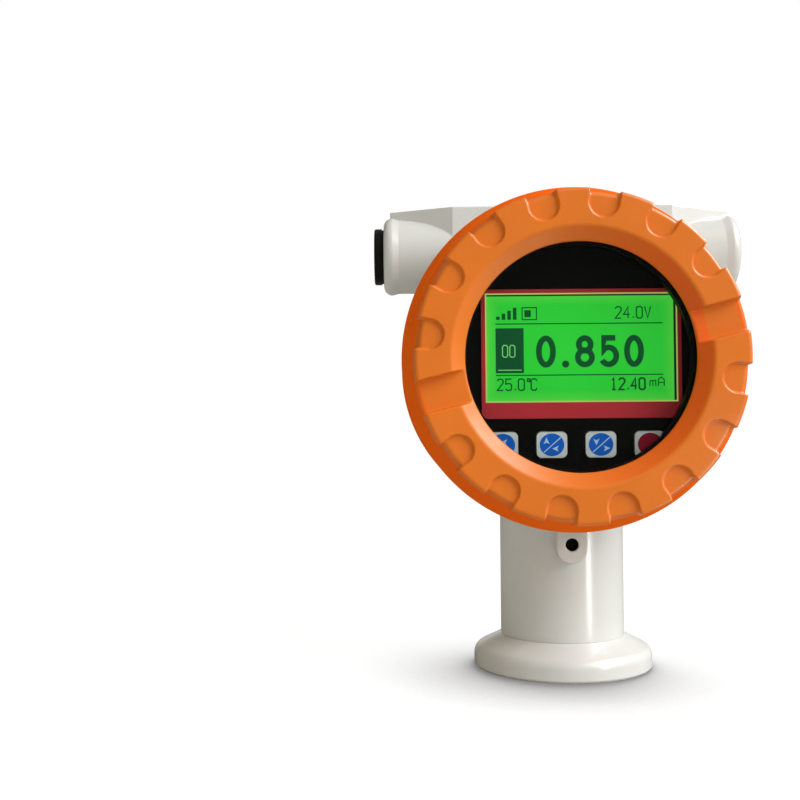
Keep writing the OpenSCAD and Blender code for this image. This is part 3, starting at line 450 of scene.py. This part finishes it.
def cover_points(first_angle, blind):
    """Points of a cover as (stations, RING, 3) in its own frame."""
    pitch = 2 * math.pi / PLACES
    turn = (np.arange(PLACES)[:, None] * pitch + OFFSETS[None, :]).ravel()
    theta = turn + math.radians(first_angle)
    place = np.round(turn / pitch)
    offset = turn - place * pitch
    is_slot = (place.astype(int) % (PLACES // 2)) == 0

    def pocket(r):
        side, along = r * np.sin(offset), r * np.cos(offset)
        inner = np.hypot(np.minimum(along - POCKET_ROUND_R, 0.0), side) - POCKET_HALF
        return np.where(is_slot, 0.0, step(inner, POCKET_SOFT, -POCKET_SOFT))

    def slot(r):
        aside = np.abs(r * np.sin(offset))
        return np.where(is_slot, step(aside, SLOT_HALF + SLOT_SOFT, SLOT_HALF - SLOT_SOFT), 0.0)

    def taper(z):
        return FACE_R + (RIM_R - FACE_R) * (DEPTH - EDGE - z) / (DEPTH - EDGE - RIM_TOP)

    def side_r(z):
        lug = LUG_R + (LUG_FOOT_R - LUG_R) * (DEPTH - EDGE - z) / (DEPTH - EDGE - LUG_FOOT)
        proud = lug - taper(z)
        return taper(z) + (1.0 - pocket(LUG_R)) * 0.5 * (proud + np.sqrt(proud * proud + 0.05))

    def top_z(r):
        return DEPTH - POCKET_DEEP * pocket(r) - SLOT_DEEP * slot(r)

    edge_z = top_z(FACE_R)
    edge_r = side_r(edge_z - EDGE)
    edge_z = top_z(edge_r - EDGE)
    rings = []

    def ring(r, z):
        rings.append(np.stack([r * np.cos(theta), r * np.sin(theta), z + 0.0 * theta], axis=1))

    def line(a, b, count, last=True):
        for t in np.linspace(0.0, 1.0, count + 1)[: None if last else -1]:
            yield a[0] + (b[0] - a[0]) * t, a[1] + (b[1] - a[1]) * t

    def rounded(corner, before, after, radius, count=5):
        """Points of a fillet at a corner of the profile."""
        c, p, q = np.array(corner), np.array(before), np.array(after)
        u, v = (p - c) / np.linalg.norm(p - c), (q - c) / np.linalg.norm(q - c)
        for t in np.linspace(0.0, 1.0, count):
            yield tuple(c + radius * ((1 - t) ** 2 * u + t * t * v))

    bevel_foot = (BEVEL_R - SLOT_DEEP, DEPTH - SLOT_DEEP) if blind else (WINDOW_R, LAND)
    bevel_top = (BEVEL_R, DEPTH)
    if blind:
        medal_top, floor_z = DEPTH - SLOT_DEEP + MEDAL_HIGH, DEPTH - SLOT_DEEP
        shoulder, foot = (MEDAL_R, medal_top), (MEDAL_FOOT_R, floor_z)
        inner = [(AXIS_R, medal_top), (10.0, medal_top), (20.4, medal_top)]
        inner += list(rounded(shoulder, (20.0, medal_top), foot, 0.5))
        inner += list(rounded(foot, shoulder, (24.0, floor_z), 0.5))
        inner += list(line((22.5, floor_z), (43.2, floor_z), 6))
        inner += list(rounded(bevel_foot, (40.0, floor_z), bevel_top, 1.3))
    else:
        inner = list(rounded((WINDOW_R, LAND), (WINDOW_R, SEAT_Z), bevel_top, 0.4))
    lip = list(rounded(bevel_top, bevel_foot, (55.0, DEPTH), LIP, 6))
    inner += list(line(inner[-1], lip[0], 9))[1:]
    for r, z in inner:
        cut = slot(r) if r > SLOT_FROM else 0.0
        ring(r, z - cut * max(0.0, z - (DEPTH - SLOT_DEEP)))
    for r, z in lip[1:]:
        ring(r, z - (DEPTH - top_z(r)) * (z - DEPTH + SLOT_DEEP) / SLOT_DEEP)
    face_from = lip[-1][0]
    for t in np.linspace(0.0, 1.0, 31)[1:]:
        r = face_from + (edge_r - EDGE - face_from) * t
        ring(r, top_z(r))
    for a in np.radians(np.linspace(0.0, 90.0, 7)[1:]):
        ring(edge_r - EDGE + EDGE * math.sin(a), edge_z - EDGE + EDGE * math.cos(a))
    for t in np.linspace(0.0, 1.0, 11)[1:]:
        z = (edge_z - EDGE) * (1 - t) + LUG_LOW * t
        fade = step(z, LUG_LOW, LUG_LOW + LUG_FADE)
        ring(side_r(z) * fade + taper(z) * (1 - fade), z)
    profile = list(line((taper(LUG_LOW), LUG_LOW), (taper(TAPER_LOW), TAPER_LOW), 4))
    profile += list(rounded((RIM_R, RIM_TOP), (taper(6.0), 6.0), (RIM_R, 1.3), 0.8, 3))
    for a in np.radians(np.linspace(0.0, 90.0, 6)):
        profile.append((RIM_R - RIM_ROUND + RIM_ROUND * math.cos(a), RIM_ROUND - RIM_ROUND * math.sin(a)))
    profile += [(IN_MOUTH_R, 0.0), (IN_MOUTH_R, GROOVE_FROM), (GROOVE_R, GROOVE_FROM), (GROOVE_R, GROOVE_TO)]
    profile += [(BORE_R, GROOVE_TO), (BORE_R, BORE_END), (LEDGE_R, BORE_END)]
    if blind:
        profile += [(LEDGE_R, WALL_Z), (30.0, WALL_Z), (AXIS_R, WALL_Z)]
    else:
        profile += [(LEDGE_R, NOSE_Z), (SEAT_R, NOSE_Z), (SEAT_R, SEAT_Z), (WINDOW_R, SEAT_Z)]
    for r, z in profile:
        ring(r, z)
    return np.stack(rings)


def cover(name, node, first_angle, blind):
    """A cover's casting in place of its CAD node: the front one with a window, the rear one blind."""
    rings = cover_points(first_angle, blind)
    count = len(rings)
    x, y, z = rings[..., 0].ravel(), rings[..., 1].ravel(), rings[..., 2].ravel()
    if blind:
        points = np.stack([-x, MOUTH_Y + z, DRUM_Z + y], axis=1)
    else:
        points = np.stack([x, -MOUTH_Y - z, DRUM_Z + y], axis=1)
    faces = []
    for k in range(count - 1 if blind else count):
        a, b = k * RING, ((k + 1) % count) * RING
        for i in range(RING):
            j = (i + 1) % RING
            faces.append((a + i, b + i, b + j, a + j))
    if blind:
        faces.append(tuple(range(RING)))
        faces.append(tuple(reversed(range((count - 1) * RING, count * RING))))
    obj = piece(name, points, faces, MATERIALS["orange_paint"], node, sharp=80)
    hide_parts(node)
    return obj


def tube(rings, closed):
    """Faces of a solid swept through rings of points: joined end to end, or capped."""
    count, around = len(rings), len(rings[0])
    faces = []
    for k in range(count if closed else count - 1):
        a, b = k * around, ((k + 1) % count) * around
        faces += [(a + i, a + (i + 1) % around, b + (i + 1) % around, b + i) for i in range(around)]
    if not closed:
        faces.append(tuple(reversed(range(around))))
        faces.append(tuple((count - 1) * around + i for i in range(around)))
    return faces


# A ridge's half width at its root as a share of the pitch, its crest as a share of that, and steps in a turn
RIDGE_HALF, RIDGE_CREST, RIDGE_STEPS = 0.42, 0.15, 48


def thread(name, start_x, end_x, root_r, crest_r, body, material, slot):
    """A right-hand ridge of the cable entries' pitch, round the entries' axis."""
    half = ENTRY_PITCH * RIDGE_HALF
    crest = half * RIDGE_CREST
    profile = ((root_r, -half), (crest_r, -crest), (crest_r, crest), (root_r, half))
    if crest_r > root_r:
        profile = profile[::-1]
    count = int(RIDGE_STEPS * (end_x - start_x) / ENTRY_PITCH)
    rings = []
    for k in range(count + 1):
        a = 2 * math.pi * k / RIDGE_STEPS
        x = start_x + ENTRY_PITCH * k / RIDGE_STEPS
        rings.append([(x + dx, r * math.cos(a), ENTRY_Z + r * math.sin(a)) for r, dx in profile])
    return piece(name, np.concatenate(rings), tube(rings, closed=False), material, body)


# How far the blend reaches at the neck's sides and ends, and how far its edges sink into the casting
FILLET_SIDES, FILLET_ENDS, FILLET_STEPS, FILLET_ROWS = 7.5, 4.0, 144, 13
SINK_LONG, SINK_SHORT = 0.8, 0.4
# It meets the casting without an edge, so its coat has no edge rounding
BLEND_PAINT = paint("blend_paint", WHITE, WHITE_ROUGH, WHITE_PEEL, 0.0, WHITE_SHEEN)


def neck_fillet(name):
    """Casting blend from the neck up to the drum: at each angle it is tangent to both."""
    rings = []
    for k in range(FILLET_STEPS):
        a = 2 * math.pi * k / FILLET_STEPS
        c, s = math.cos(a), math.sin(a)
        reach = FILLET_ENDS + (FILLET_SIDES - FILLET_ENDS) * c * c

        def drum_z(r):
            return DRUM_Z - math.sqrt(DRUM_R ** 2 - (r * c) ** 2)

        top_r = NECK_R + reach
        top_z = drum_z(top_r)
        slope = top_r * c * c / math.sqrt(DRUM_R ** 2 - (top_r * c) ** 2)
        corner_z = top_z - reach * slope
        profile = [(NECK_R - SINK_LONG, corner_z - reach - SINK_SHORT)]
        for t in np.linspace(0.0, 1.0, FILLET_ROWS):
            z = (1 - t) ** 2 * (corner_z - reach) + 2 * t * (1 - t) * corner_z + t * t * top_z
            profile.append((NECK_R + reach * t * t, z))
        profile.append((top_r + SINK_SHORT, drum_z(top_r + SINK_SHORT) + SINK_LONG))
        rings.append([(r * c, r * s, z) for r, z in profile])
    points = np.concatenate(rings)
    return piece(name, points, tube(rings, closed=True), BLEND_PAINT, "root", sharp=22)


BARE = metal("bare_thread", TURNED_DARK, 0.6, (1.0, 1.0, 1.0))
# Where each ridge starts and ends, from the entry's end inwards, and its root and crest radius
ENTRY_RIDGE = (ENTRY_END - 17.0, ENTRY_END - 1.4, 9.35, 8.75)
PLUG_RIDGE = (-ENTRY_END + 0.6, -ENTRY_END + 10.4, 8.9, 9.17)
neck_fillet("neck_fillet")
thread("entry_thread", *ENTRY_RIDGE, "root", BARE, "white_paint")
thread("plug_thread", *PLUG_RIDGE, "entry_plug", MATERIALS["black_plastic"], "black_plastic")
cover("front_cover_casting", "front_cover", 14.1, blind=False)
cover("rear_cover_casting", "rear_cover", 90.0, blind=True)


# Flat signs on the screen and the keys: strokes and discs that face the viewer
def stroke(path, width, closed=False):
    """Quads along a line of (u, v) points, mitred at the bends."""
    p = np.array(path, float)
    ahead = np.roll(p, -1, axis=0) - p
    if not closed:
        ahead[-1] = ahead[-2]
    ahead /= np.linalg.norm(ahead, axis=1)[:, None]
    behind = np.roll(ahead, 1, axis=0)
    if not closed:
        behind[0] = ahead[0]
    bisector = ahead + behind
    bisector /= np.linalg.norm(bisector, axis=1)[:, None]
    stretch = 1.0 / np.clip((bisector * ahead).sum(axis=1), 0.5, 1.0)
    side = np.stack([-bisector[:, 1], bisector[:, 0]], axis=1) * (width / 2 * stretch)[:, None]
    points = np.concatenate([p + side, p - side])
    n = len(p)
    return points, [(i, n + i, n + (i + 1) % n, (i + 1) % n) for i in range(n if closed else n - 1)]


def rect(u0, v0, u1, v1):
    return np.array([(u0, v0), (u1, v0), (u1, v1), (u0, v1)]), [(0, 1, 2, 3)]


def disc(u, v, wide, high, count=64):
    a = np.arange(count) * 2 * math.pi / count
    return np.stack([u + wide * np.cos(a), v + high * np.sin(a)], axis=1), [tuple(range(count))]


def shape(points):
    return np.array(points, float), [tuple(range(len(points)))]


def signs(name, shapes, centre, front_y, material, body):
    """Joins flat shapes in (u, v) millimetres about a centre (x, z) into one piece at depth front_y."""
    points, faces = [], []
    for uv, quads in shapes:
        base = len(points)
        points += [(centre[0] + u, front_y, centre[1] + v) for u, v in uv]
        faces += [tuple(base + i for i in f) for f in quads]
    return piece(name, points, faces, material, body)


def bow(cx, cy, rx, ry, a0, a1, count=20):
    return [
        (cx + rx * math.cos(math.radians(a0 + (a1 - a0) * k / count)),
         cy + ry * math.sin(math.radians(a0 + (a1 - a0) * k / count)))
        for k in range(count + 1)
    ]


# Small dot-matrix style signs on a grid 4 wide and 8 high
LOOP = [(1, 0), (3, 0), (4, 1), (4, 7), (3, 8), (1, 8), (0, 7), (0, 1)]
SMALL = {
    "0": [(LOOP, True)],
    "1": [([(1, 6.5), (2, 8), (2, 0)], False), ([(0.8, 0), (3.2, 0)], False)],
    "2": [([(0, 6.6), (1, 8), (3, 8), (4, 7), (4, 5.2), (0, 0), (4, 0)], False)],
    "4": [([(3, 0), (3, 8), (0, 2.6), (4, 2.6)], False)],
    "5": [([(4, 8), (0.3, 8), (0, 4.6), (3, 4.8), (4, 3.8), (4, 1), (3, 0), (1, 0), (0, 1)], False)],
    "8": [([(1, 4.2), (3, 4.2), (4, 5.2), (4, 7), (3, 8), (1, 8), (0, 7), (0, 5.2)], True),
          ([(1, 0), (3, 0), (4, 1), (4, 3.2), (3, 4.2), (1, 4.2), (0, 3.2), (0, 1)], True)],
    "C": [([(4, 6.6), (3, 8), (1, 8), (0, 7), (0, 1), (1, 0), (3, 0), (4, 1.4)], False)],
    "V": [([(0, 8), (2, 0), (4, 8)], False)],
    "m": [([(0, 0), (0, 5)], False), ([(0, 4.6), (1.9, 5), (2, 0)], False),
          ([(2, 4.6), (3.9, 5), (4, 0)], False)],
    "A": [([(0, 0), (0, 5.6), (2, 8), (4, 5.6), (4, 0)], False), ([(0, 3.2), (4, 3.2)], False)],
    ".": [([(0.9, 0.1), (0.9, 1.2)], False)],
    "o": [([(0.6, 6.2), (2.2, 6.2), (2.2, 8), (0.6, 8)], True)],
}


def words(text, u, v, width, height, line, gap=0.42):
    """Small signs from u to the right with their foot at v."""
    shapes, at = [], u
    for letter in text:
        for path, closed in SMALL[letter]:
            bend = [(at + p[0] / 4 * width, v + p[1] / 8 * height) for p in path]
            shapes.append(stroke(bend, line, closed))
        at += width * (0.75 if letter in ".o" else 1.0 + gap)
    return shapes


def big_zero(u, v, w, h):
    return [(bow(u + w / 2, v + h / 2, w / 2, h / 2, 0, 360, 48)[:-1], True)]


def big_five(u, v, w, h):
    bowl = bow(u + w * 0.46, v + h * 0.32, w * 0.54, h * 0.32, 118, -150, 30)
    return [([(u + w * 0.95, v + h), (u + w * 0.14, v + h), (u + w * 0.08, v + h * 0.5)] + bowl, False)]


def big_eight(u, v, w, h):
    return [
        (bow(u + w / 2, v + h * 0.76, w * 0.42, h * 0.24, 0, 360, 40)[:-1], True),
        (bow(u + w / 2, v + h * 0.27, w * 0.5, h * 0.27, 0, 360, 44)[:-1], True),
    ]


SCREEN = (SCREEN_X, SCREEN_Z)
HALF_W, HALF_H = SCREEN_W / 2, SCREEN_H / 2
# Prints lie this far in front of what they are printed on, and over another print
PRINT, OVERPRINT = 0.04, 0.08
INK = lit_film("screen_ink", srgb(18, 86, 46), 0.75, 0.5, 0.08)
PALE = lit_film("screen_pale", srgb(120, 214, 120), 0.85, 0.5, 0.05)

# Two rules and the dark block, then the large number: each digit and its left side, and the point
RULE_FROM, RULE_TO = -33.1, 32.3
marks = [
    rect(RULE_FROM, 9.34, RULE_TO, 9.78),
    rect(RULE_FROM, -10.77, RULE_TO, -10.33),
    rect(RULE_FROM, -9.7, -22.1, 7.9),
]
DIGIT_FOOT, DIGIT_W, DIGIT_H, DIGIT_LINE, POINT_R = -6.5, 5.5, 10.3, 2.25, 1.4
for make, left in ((big_zero, -16.2), (big_eight, -1.0), (big_five, 8.5), (big_zero, 18.2)):
    for path, closed in make(left, DIGIT_FOOT, DIGIT_W, DIGIT_H):
        marks.append(stroke(path, DIGIT_LINE, closed))
marks.append(disc(-5.8, -6.3, POINT_R, POINT_R, 28))
# Small numbers and units: left side, foot, width, height and line
marks += words("25.0oC", -32.6, -16.4, 2.3, 4.4, 0.55)
marks += words("12.40", 11.8, -16.4, 2.2, 4.4, 0.72)
marks += words("mA", 27.0, -15.2, 2.3, 3.6, 0.42)
marks += words("24.0V", 13.8, 11.5, 2.3, 4.5, 0.52)
# Four rising bars and a framed square
BAR_FOOT, BAR_GAP, BAR_RISE = 11.2, 2.2, 1.15
for bar in range(4):
    marks.append(rect(-32.8 + BAR_GAP * bar, BAR_FOOT, -31.4 + BAR_GAP * bar, 12.5 + BAR_RISE * bar))
marks.append(stroke([(-22.6, BAR_FOOT), (-17.0, BAR_FOOT), (-17.0, 15.9), (-22.6, 15.9)], 0.42, True))
marks.append(rect(-21.7, 12.2, -19.2, 14.9))
# Painted shadow of the frame along the top and the right edge of the lit area
SHADOW_TOP, SHADOW_RIGHT = 0.35, 0.3
marks.append(rect(-HALF_W, HALF_H - SHADOW_TOP, HALF_W, HALF_H))
marks.append(rect(HALF_W - SHADOW_RIGHT, -HALF_H, HALF_W, HALF_H - SHADOW_TOP))
signs("lcd_marks", marks, SCREEN, LCD_Y - PRINT, INK, "root")
pale = words("00", -30.4, -3.4, 2.0, 4.6, 0.4)
pale.append(rect(-32.2, -8.7, -23.0, -8.35))
signs("lcd_pale_marks", pale, SCREEN, LCD_Y - OVERPRINT, PALE, "root")

# Painted highlight: a glowing line along the cut inner edge of the frame film stands in for the screen's
# light caught there
EDGE_HIGHLIGHT = lit_film("frame_edge", srgb(196, 206, 112), 0.8, 0.5, 0.1)
FILM_INSET, FILM_LINE = 0.28, 0.55
edge_u, edge_v = HALF_W + FILM_INSET, HALF_H + FILM_INSET
edge_path = [(-edge_u, -edge_v), (edge_u, -edge_v), (edge_u, edge_v), (-edge_u, edge_v)]
film_edge = stroke(edge_path, FILM_LINE, True)
signs("frame_edge_highlight", [film_edge], SCREEN, FRAME_Y - PRINT, EDGE_HIGHLIGHT, "root")

# Signs on the keys
KEYS = (("key_left", -28.7), ("key_up", -9.7), ("key_down", 9.3), ("key_enter", 28.3))
DISC_W, DISC_H = 4.75, 4.4
BLUE = plastic("key_blue", srgb(22, 98, 206), 0.4, 0.03, 900.0, 0.05, 0.08)
RED = plastic("key_red", srgb(152, 20, 46), 0.4, 0.03, 900.0, 0.05, 0.08)
SIGN = plastic("key_sign", srgb(178, 208, 238), 0.4, 0.03, 900.0, 0.03, 0.1)


def arrow(u, v, angle, size):
    c, s = math.cos(math.radians(angle)), math.sin(math.radians(angle))
    outline = [(1.0, 0.0), (-0.55, 0.72), (-0.2, 0.0), (-0.55, -0.72)]
    return shape([(u + size * (c * a - s * b), v + size * (s * a + c * b)) for a, b in outline])


SLASH = stroke([(-3.1, -2.9), (3.4, 2.8)], 0.38)
KEY_SIGNS = {
    "key_left": [arrow(0.6, 0.9, 180, 1.9)],
    "key_up": [SLASH, arrow(-2.1, 1.2, 90, 1.65), arrow(1.7, -1.5, 180, 1.6)],
    "key_down": [SLASH, arrow(-1.8, 1.3, -90, 1.65), arrow(1.9, -1.5, 0, 1.6)],
}
for body, key_x in KEYS:
    centre = (key_x, KEY_Z)
    tone = RED if body == "key_enter" else BLUE
    signs(body + "_disc", [disc(0.0, 0.0, DISC_W, DISC_H)], centre, KEY_Y - PRINT, tone, body)
    if body in KEY_SIGNS:
        signs(body + "_signs", KEY_SIGNS[body], centre, KEY_Y - OVERPRINT, SIGN, body)


# Floor, world, lights and camera

FLOOR_HALF, FLOOR_Z, FLOOR_CLOTH = 6.0, -0.0002, 60.0
FLOOR_DARK, FLOOR_PALE = (0.1, 0.1, 0.1, 1.0), (0.12, 0.12, 0.12, 1.0)
FLOOR_BOUNCE, FLOOR_MIRRORED = (0.62, 0.62, 0.6, 1.0), (0.3, 0.3, 0.29, 1.0)
SHADOW_REACH, SHADOW_LEAN = 0.065, (0.22, 0.5, 0.84)


def white_floor():
    """Pale studio floor: white with a soft shadow round the foot, and it bounces light as pale floors do.

    The shadow leans to the front left, away from the lamps.
    """
    material, n = start("pale_floor")
    where = n.place()[0]
    rays = n.new("LightPath").outputs
    cloth = n.mix(n.noise(where, FLOOR_CLOTH), FLOOR_DARK, FLOOR_PALE)
    lit = n.new("BsdfDiffuse", {"Color": cloth}).outputs[0]
    lean = n.new("CombineXYZ", dict(enumerate(SHADOW_LEAN))).outputs[0]
    open_sky = n.new("AmbientOcclusion", {"Distance": SHADOW_REACH, "Normal": lean}, samples=16).outputs["AO"]
    glow = n.new("Emission", {"Strength": n.spread(open_sky, 0.5, 0.97, 0.2, 0.95)}).outputs[0]
    shown = n.new("AddShader", {0: lit, 1: glow}).outputs[0]
    bounce = n.mix(rays["Is Glossy Ray"], FLOOR_BOUNCE, FLOOR_MIRRORED)
    hidden = n.new("BsdfDiffuse", {"Color": bounce}).outputs[0]
    n.finish(n.new("MixShader", {0: rays["Is Camera Ray"], 1: hidden, 2: shown}).outputs[0])
    return material


corners = [(u * FLOOR_HALF, v * FLOOR_HALF, 0.0) for u, v in ((-1, -1), (1, -1), (1, 1), (-1, 1))]
floor_mesh = bpy.data.meshes.new("floor")
floor_mesh.from_pydata(corners, [], [(0, 1, 2, 3)])
floor_mesh.materials.append(white_floor())
floor = bpy.data.objects.new("floor", floor_mesh)
floor.location = (0.0, 0.0, FLOOR_Z)
bpy.context.scene.collection.objects.link(floor)

# The room is brighter at the right, above, in front and behind, and warmer at the left. Shiny surfaces
# see a dark flag at the left, and the white backdrop behind.
LEFT_TINT, RIGHT_TINT = (1.0, 0.86, 0.61, 1.0), (1.0, 0.985, 0.955, 1.0)
PLAIN_WHITE = (1.0, 1.0, 1.0, 1.0)
world = bpy.data.worlds.new("studio")
world.use_nodes = True
bpy.context.scene.world = world
w = Nodes(world.node_tree)
ways = w.new("LightPath").outputs
toward = w.new("SeparateXYZ", {"Vector": w.new("TexCoord").outputs["Generated"]}).outputs
right_side = w.spread(toward[0], -0.9, 0.9, 0.215, 0.48)
overhead = w.spread(toward[2], -0.2, 1.0, 0.0, 0.14)
front = w.spread(toward[1], 0.1, -1.0, 0.0, 0.16)
rear = w.spread(toward[1], 0.3, 1.0, 0.0, 0.3)
around = w.math("ADD", w.math("ADD", right_side, overhead), w.math("ADD", front, rear))
tint = w.mix(w.spread(toward[0], -1.0, 0.1), LEFT_TINT, RIGHT_TINT)
flagged = w.spread(toward[0], -0.6, 0.7, 0.04, 0.55)
strength = w.math("ADD", around, w.both(ways["Is Glossy Ray"], w.math("SUBTRACT", flagged, around)))
soft = w.new("Background", {"Color": tint, "Strength": strength}).outputs[0]
white = w.new("Background", {"Color": PLAIN_WHITE, "Strength": 1.0}).outputs[0]
behind = w.both(ways["Is Glossy Ray"], w.spread(toward[1], 0.93, 1.0))
seen = w.math("MAXIMUM", w.math("MAXIMUM", ways["Is Camera Ray"], ways["Is Transmission Ray"]), behind)
backdrop = w.new("MixShader", {0: seen, 1: soft, 2: white}).outputs[0]
w.new("OutputWorld", {"Surface": backdrop})


def aim(obj, place, target):
    obj.location = place
    obj.rotation_mode = "QUATERNION"
    obj.rotation_quaternion = (Vector(target) - Vector(place)).to_track_quat("-Z", "Y")


def softbox(name, place, target, width, height, watts):
    """A lamp panel that only shiny surfaces show."""
    data = bpy.data.lights.new(name, "AREA")
    data.shape = "RECTANGLE"
    data.size, data.size_y, data.energy = width, height, watts
    obj = bpy.data.objects.new(name, data)
    bpy.context.scene.collection.objects.link(obj)
    aim(obj, place, target)
    obj.visible_camera = False
    obj.visible_diffuse = False


SUN_STRENGTH, SUN_WIDTH = 2.6, math.radians(48)
sun = bpy.data.lights.new("key", "SUN")
sun.energy, sun.angle = SUN_STRENGTH, SUN_WIDTH
key = bpy.data.objects.new("key", sun)
bpy.context.scene.collection.objects.link(key)
aim(key, (0.7, -0.405, 0.688), (0.0, 0.0, 0.1))
softbox("top_box", (0.9, -0.06, 0.88), (0.0, -0.06, 0.1), 0.5, 0.5, 47.0)
softbox("strip", (0.071, -0.089, 0.05), (0.0085, -0.0239, 0.05), 0.006, 0.1, 0.06)

# The camera stands where the photograph was taken from: place in millimetres, turns in radians
CAMERA_PLACE = (-66.73, -462.44, 102.02)
yaw, pitch, roll = -0.004, 0.024, -0.0079
camera = bpy.data.cameras.new("camera")
camera.sensor_width, camera.lens = 36.0, 48.345
camera.clip_start, camera.clip_end = 0.01, 50.0
eye = bpy.data.objects.new("camera", camera)
bpy.context.scene.collection.objects.link(eye)
ahead = Vector((math.sin(yaw) * math.cos(pitch), math.cos(yaw) * math.cos(pitch), math.sin(pitch)))
right = Vector((math.cos(yaw), -math.sin(yaw), 0.0))
up = right.cross(ahead)
level = math.cos(roll) * right + math.sin(roll) * up
upright = -math.sin(roll) * right + math.cos(roll) * up
pose = Matrix((level, upright, -ahead)).transposed().to_4x4()
pose.translation = Vector(CAMERA_PLACE) * MM
eye.matrix_world = pose
bpy.context.scene.camera = eye
bpy.context.scene.view_settings.view_transform = "Standard"
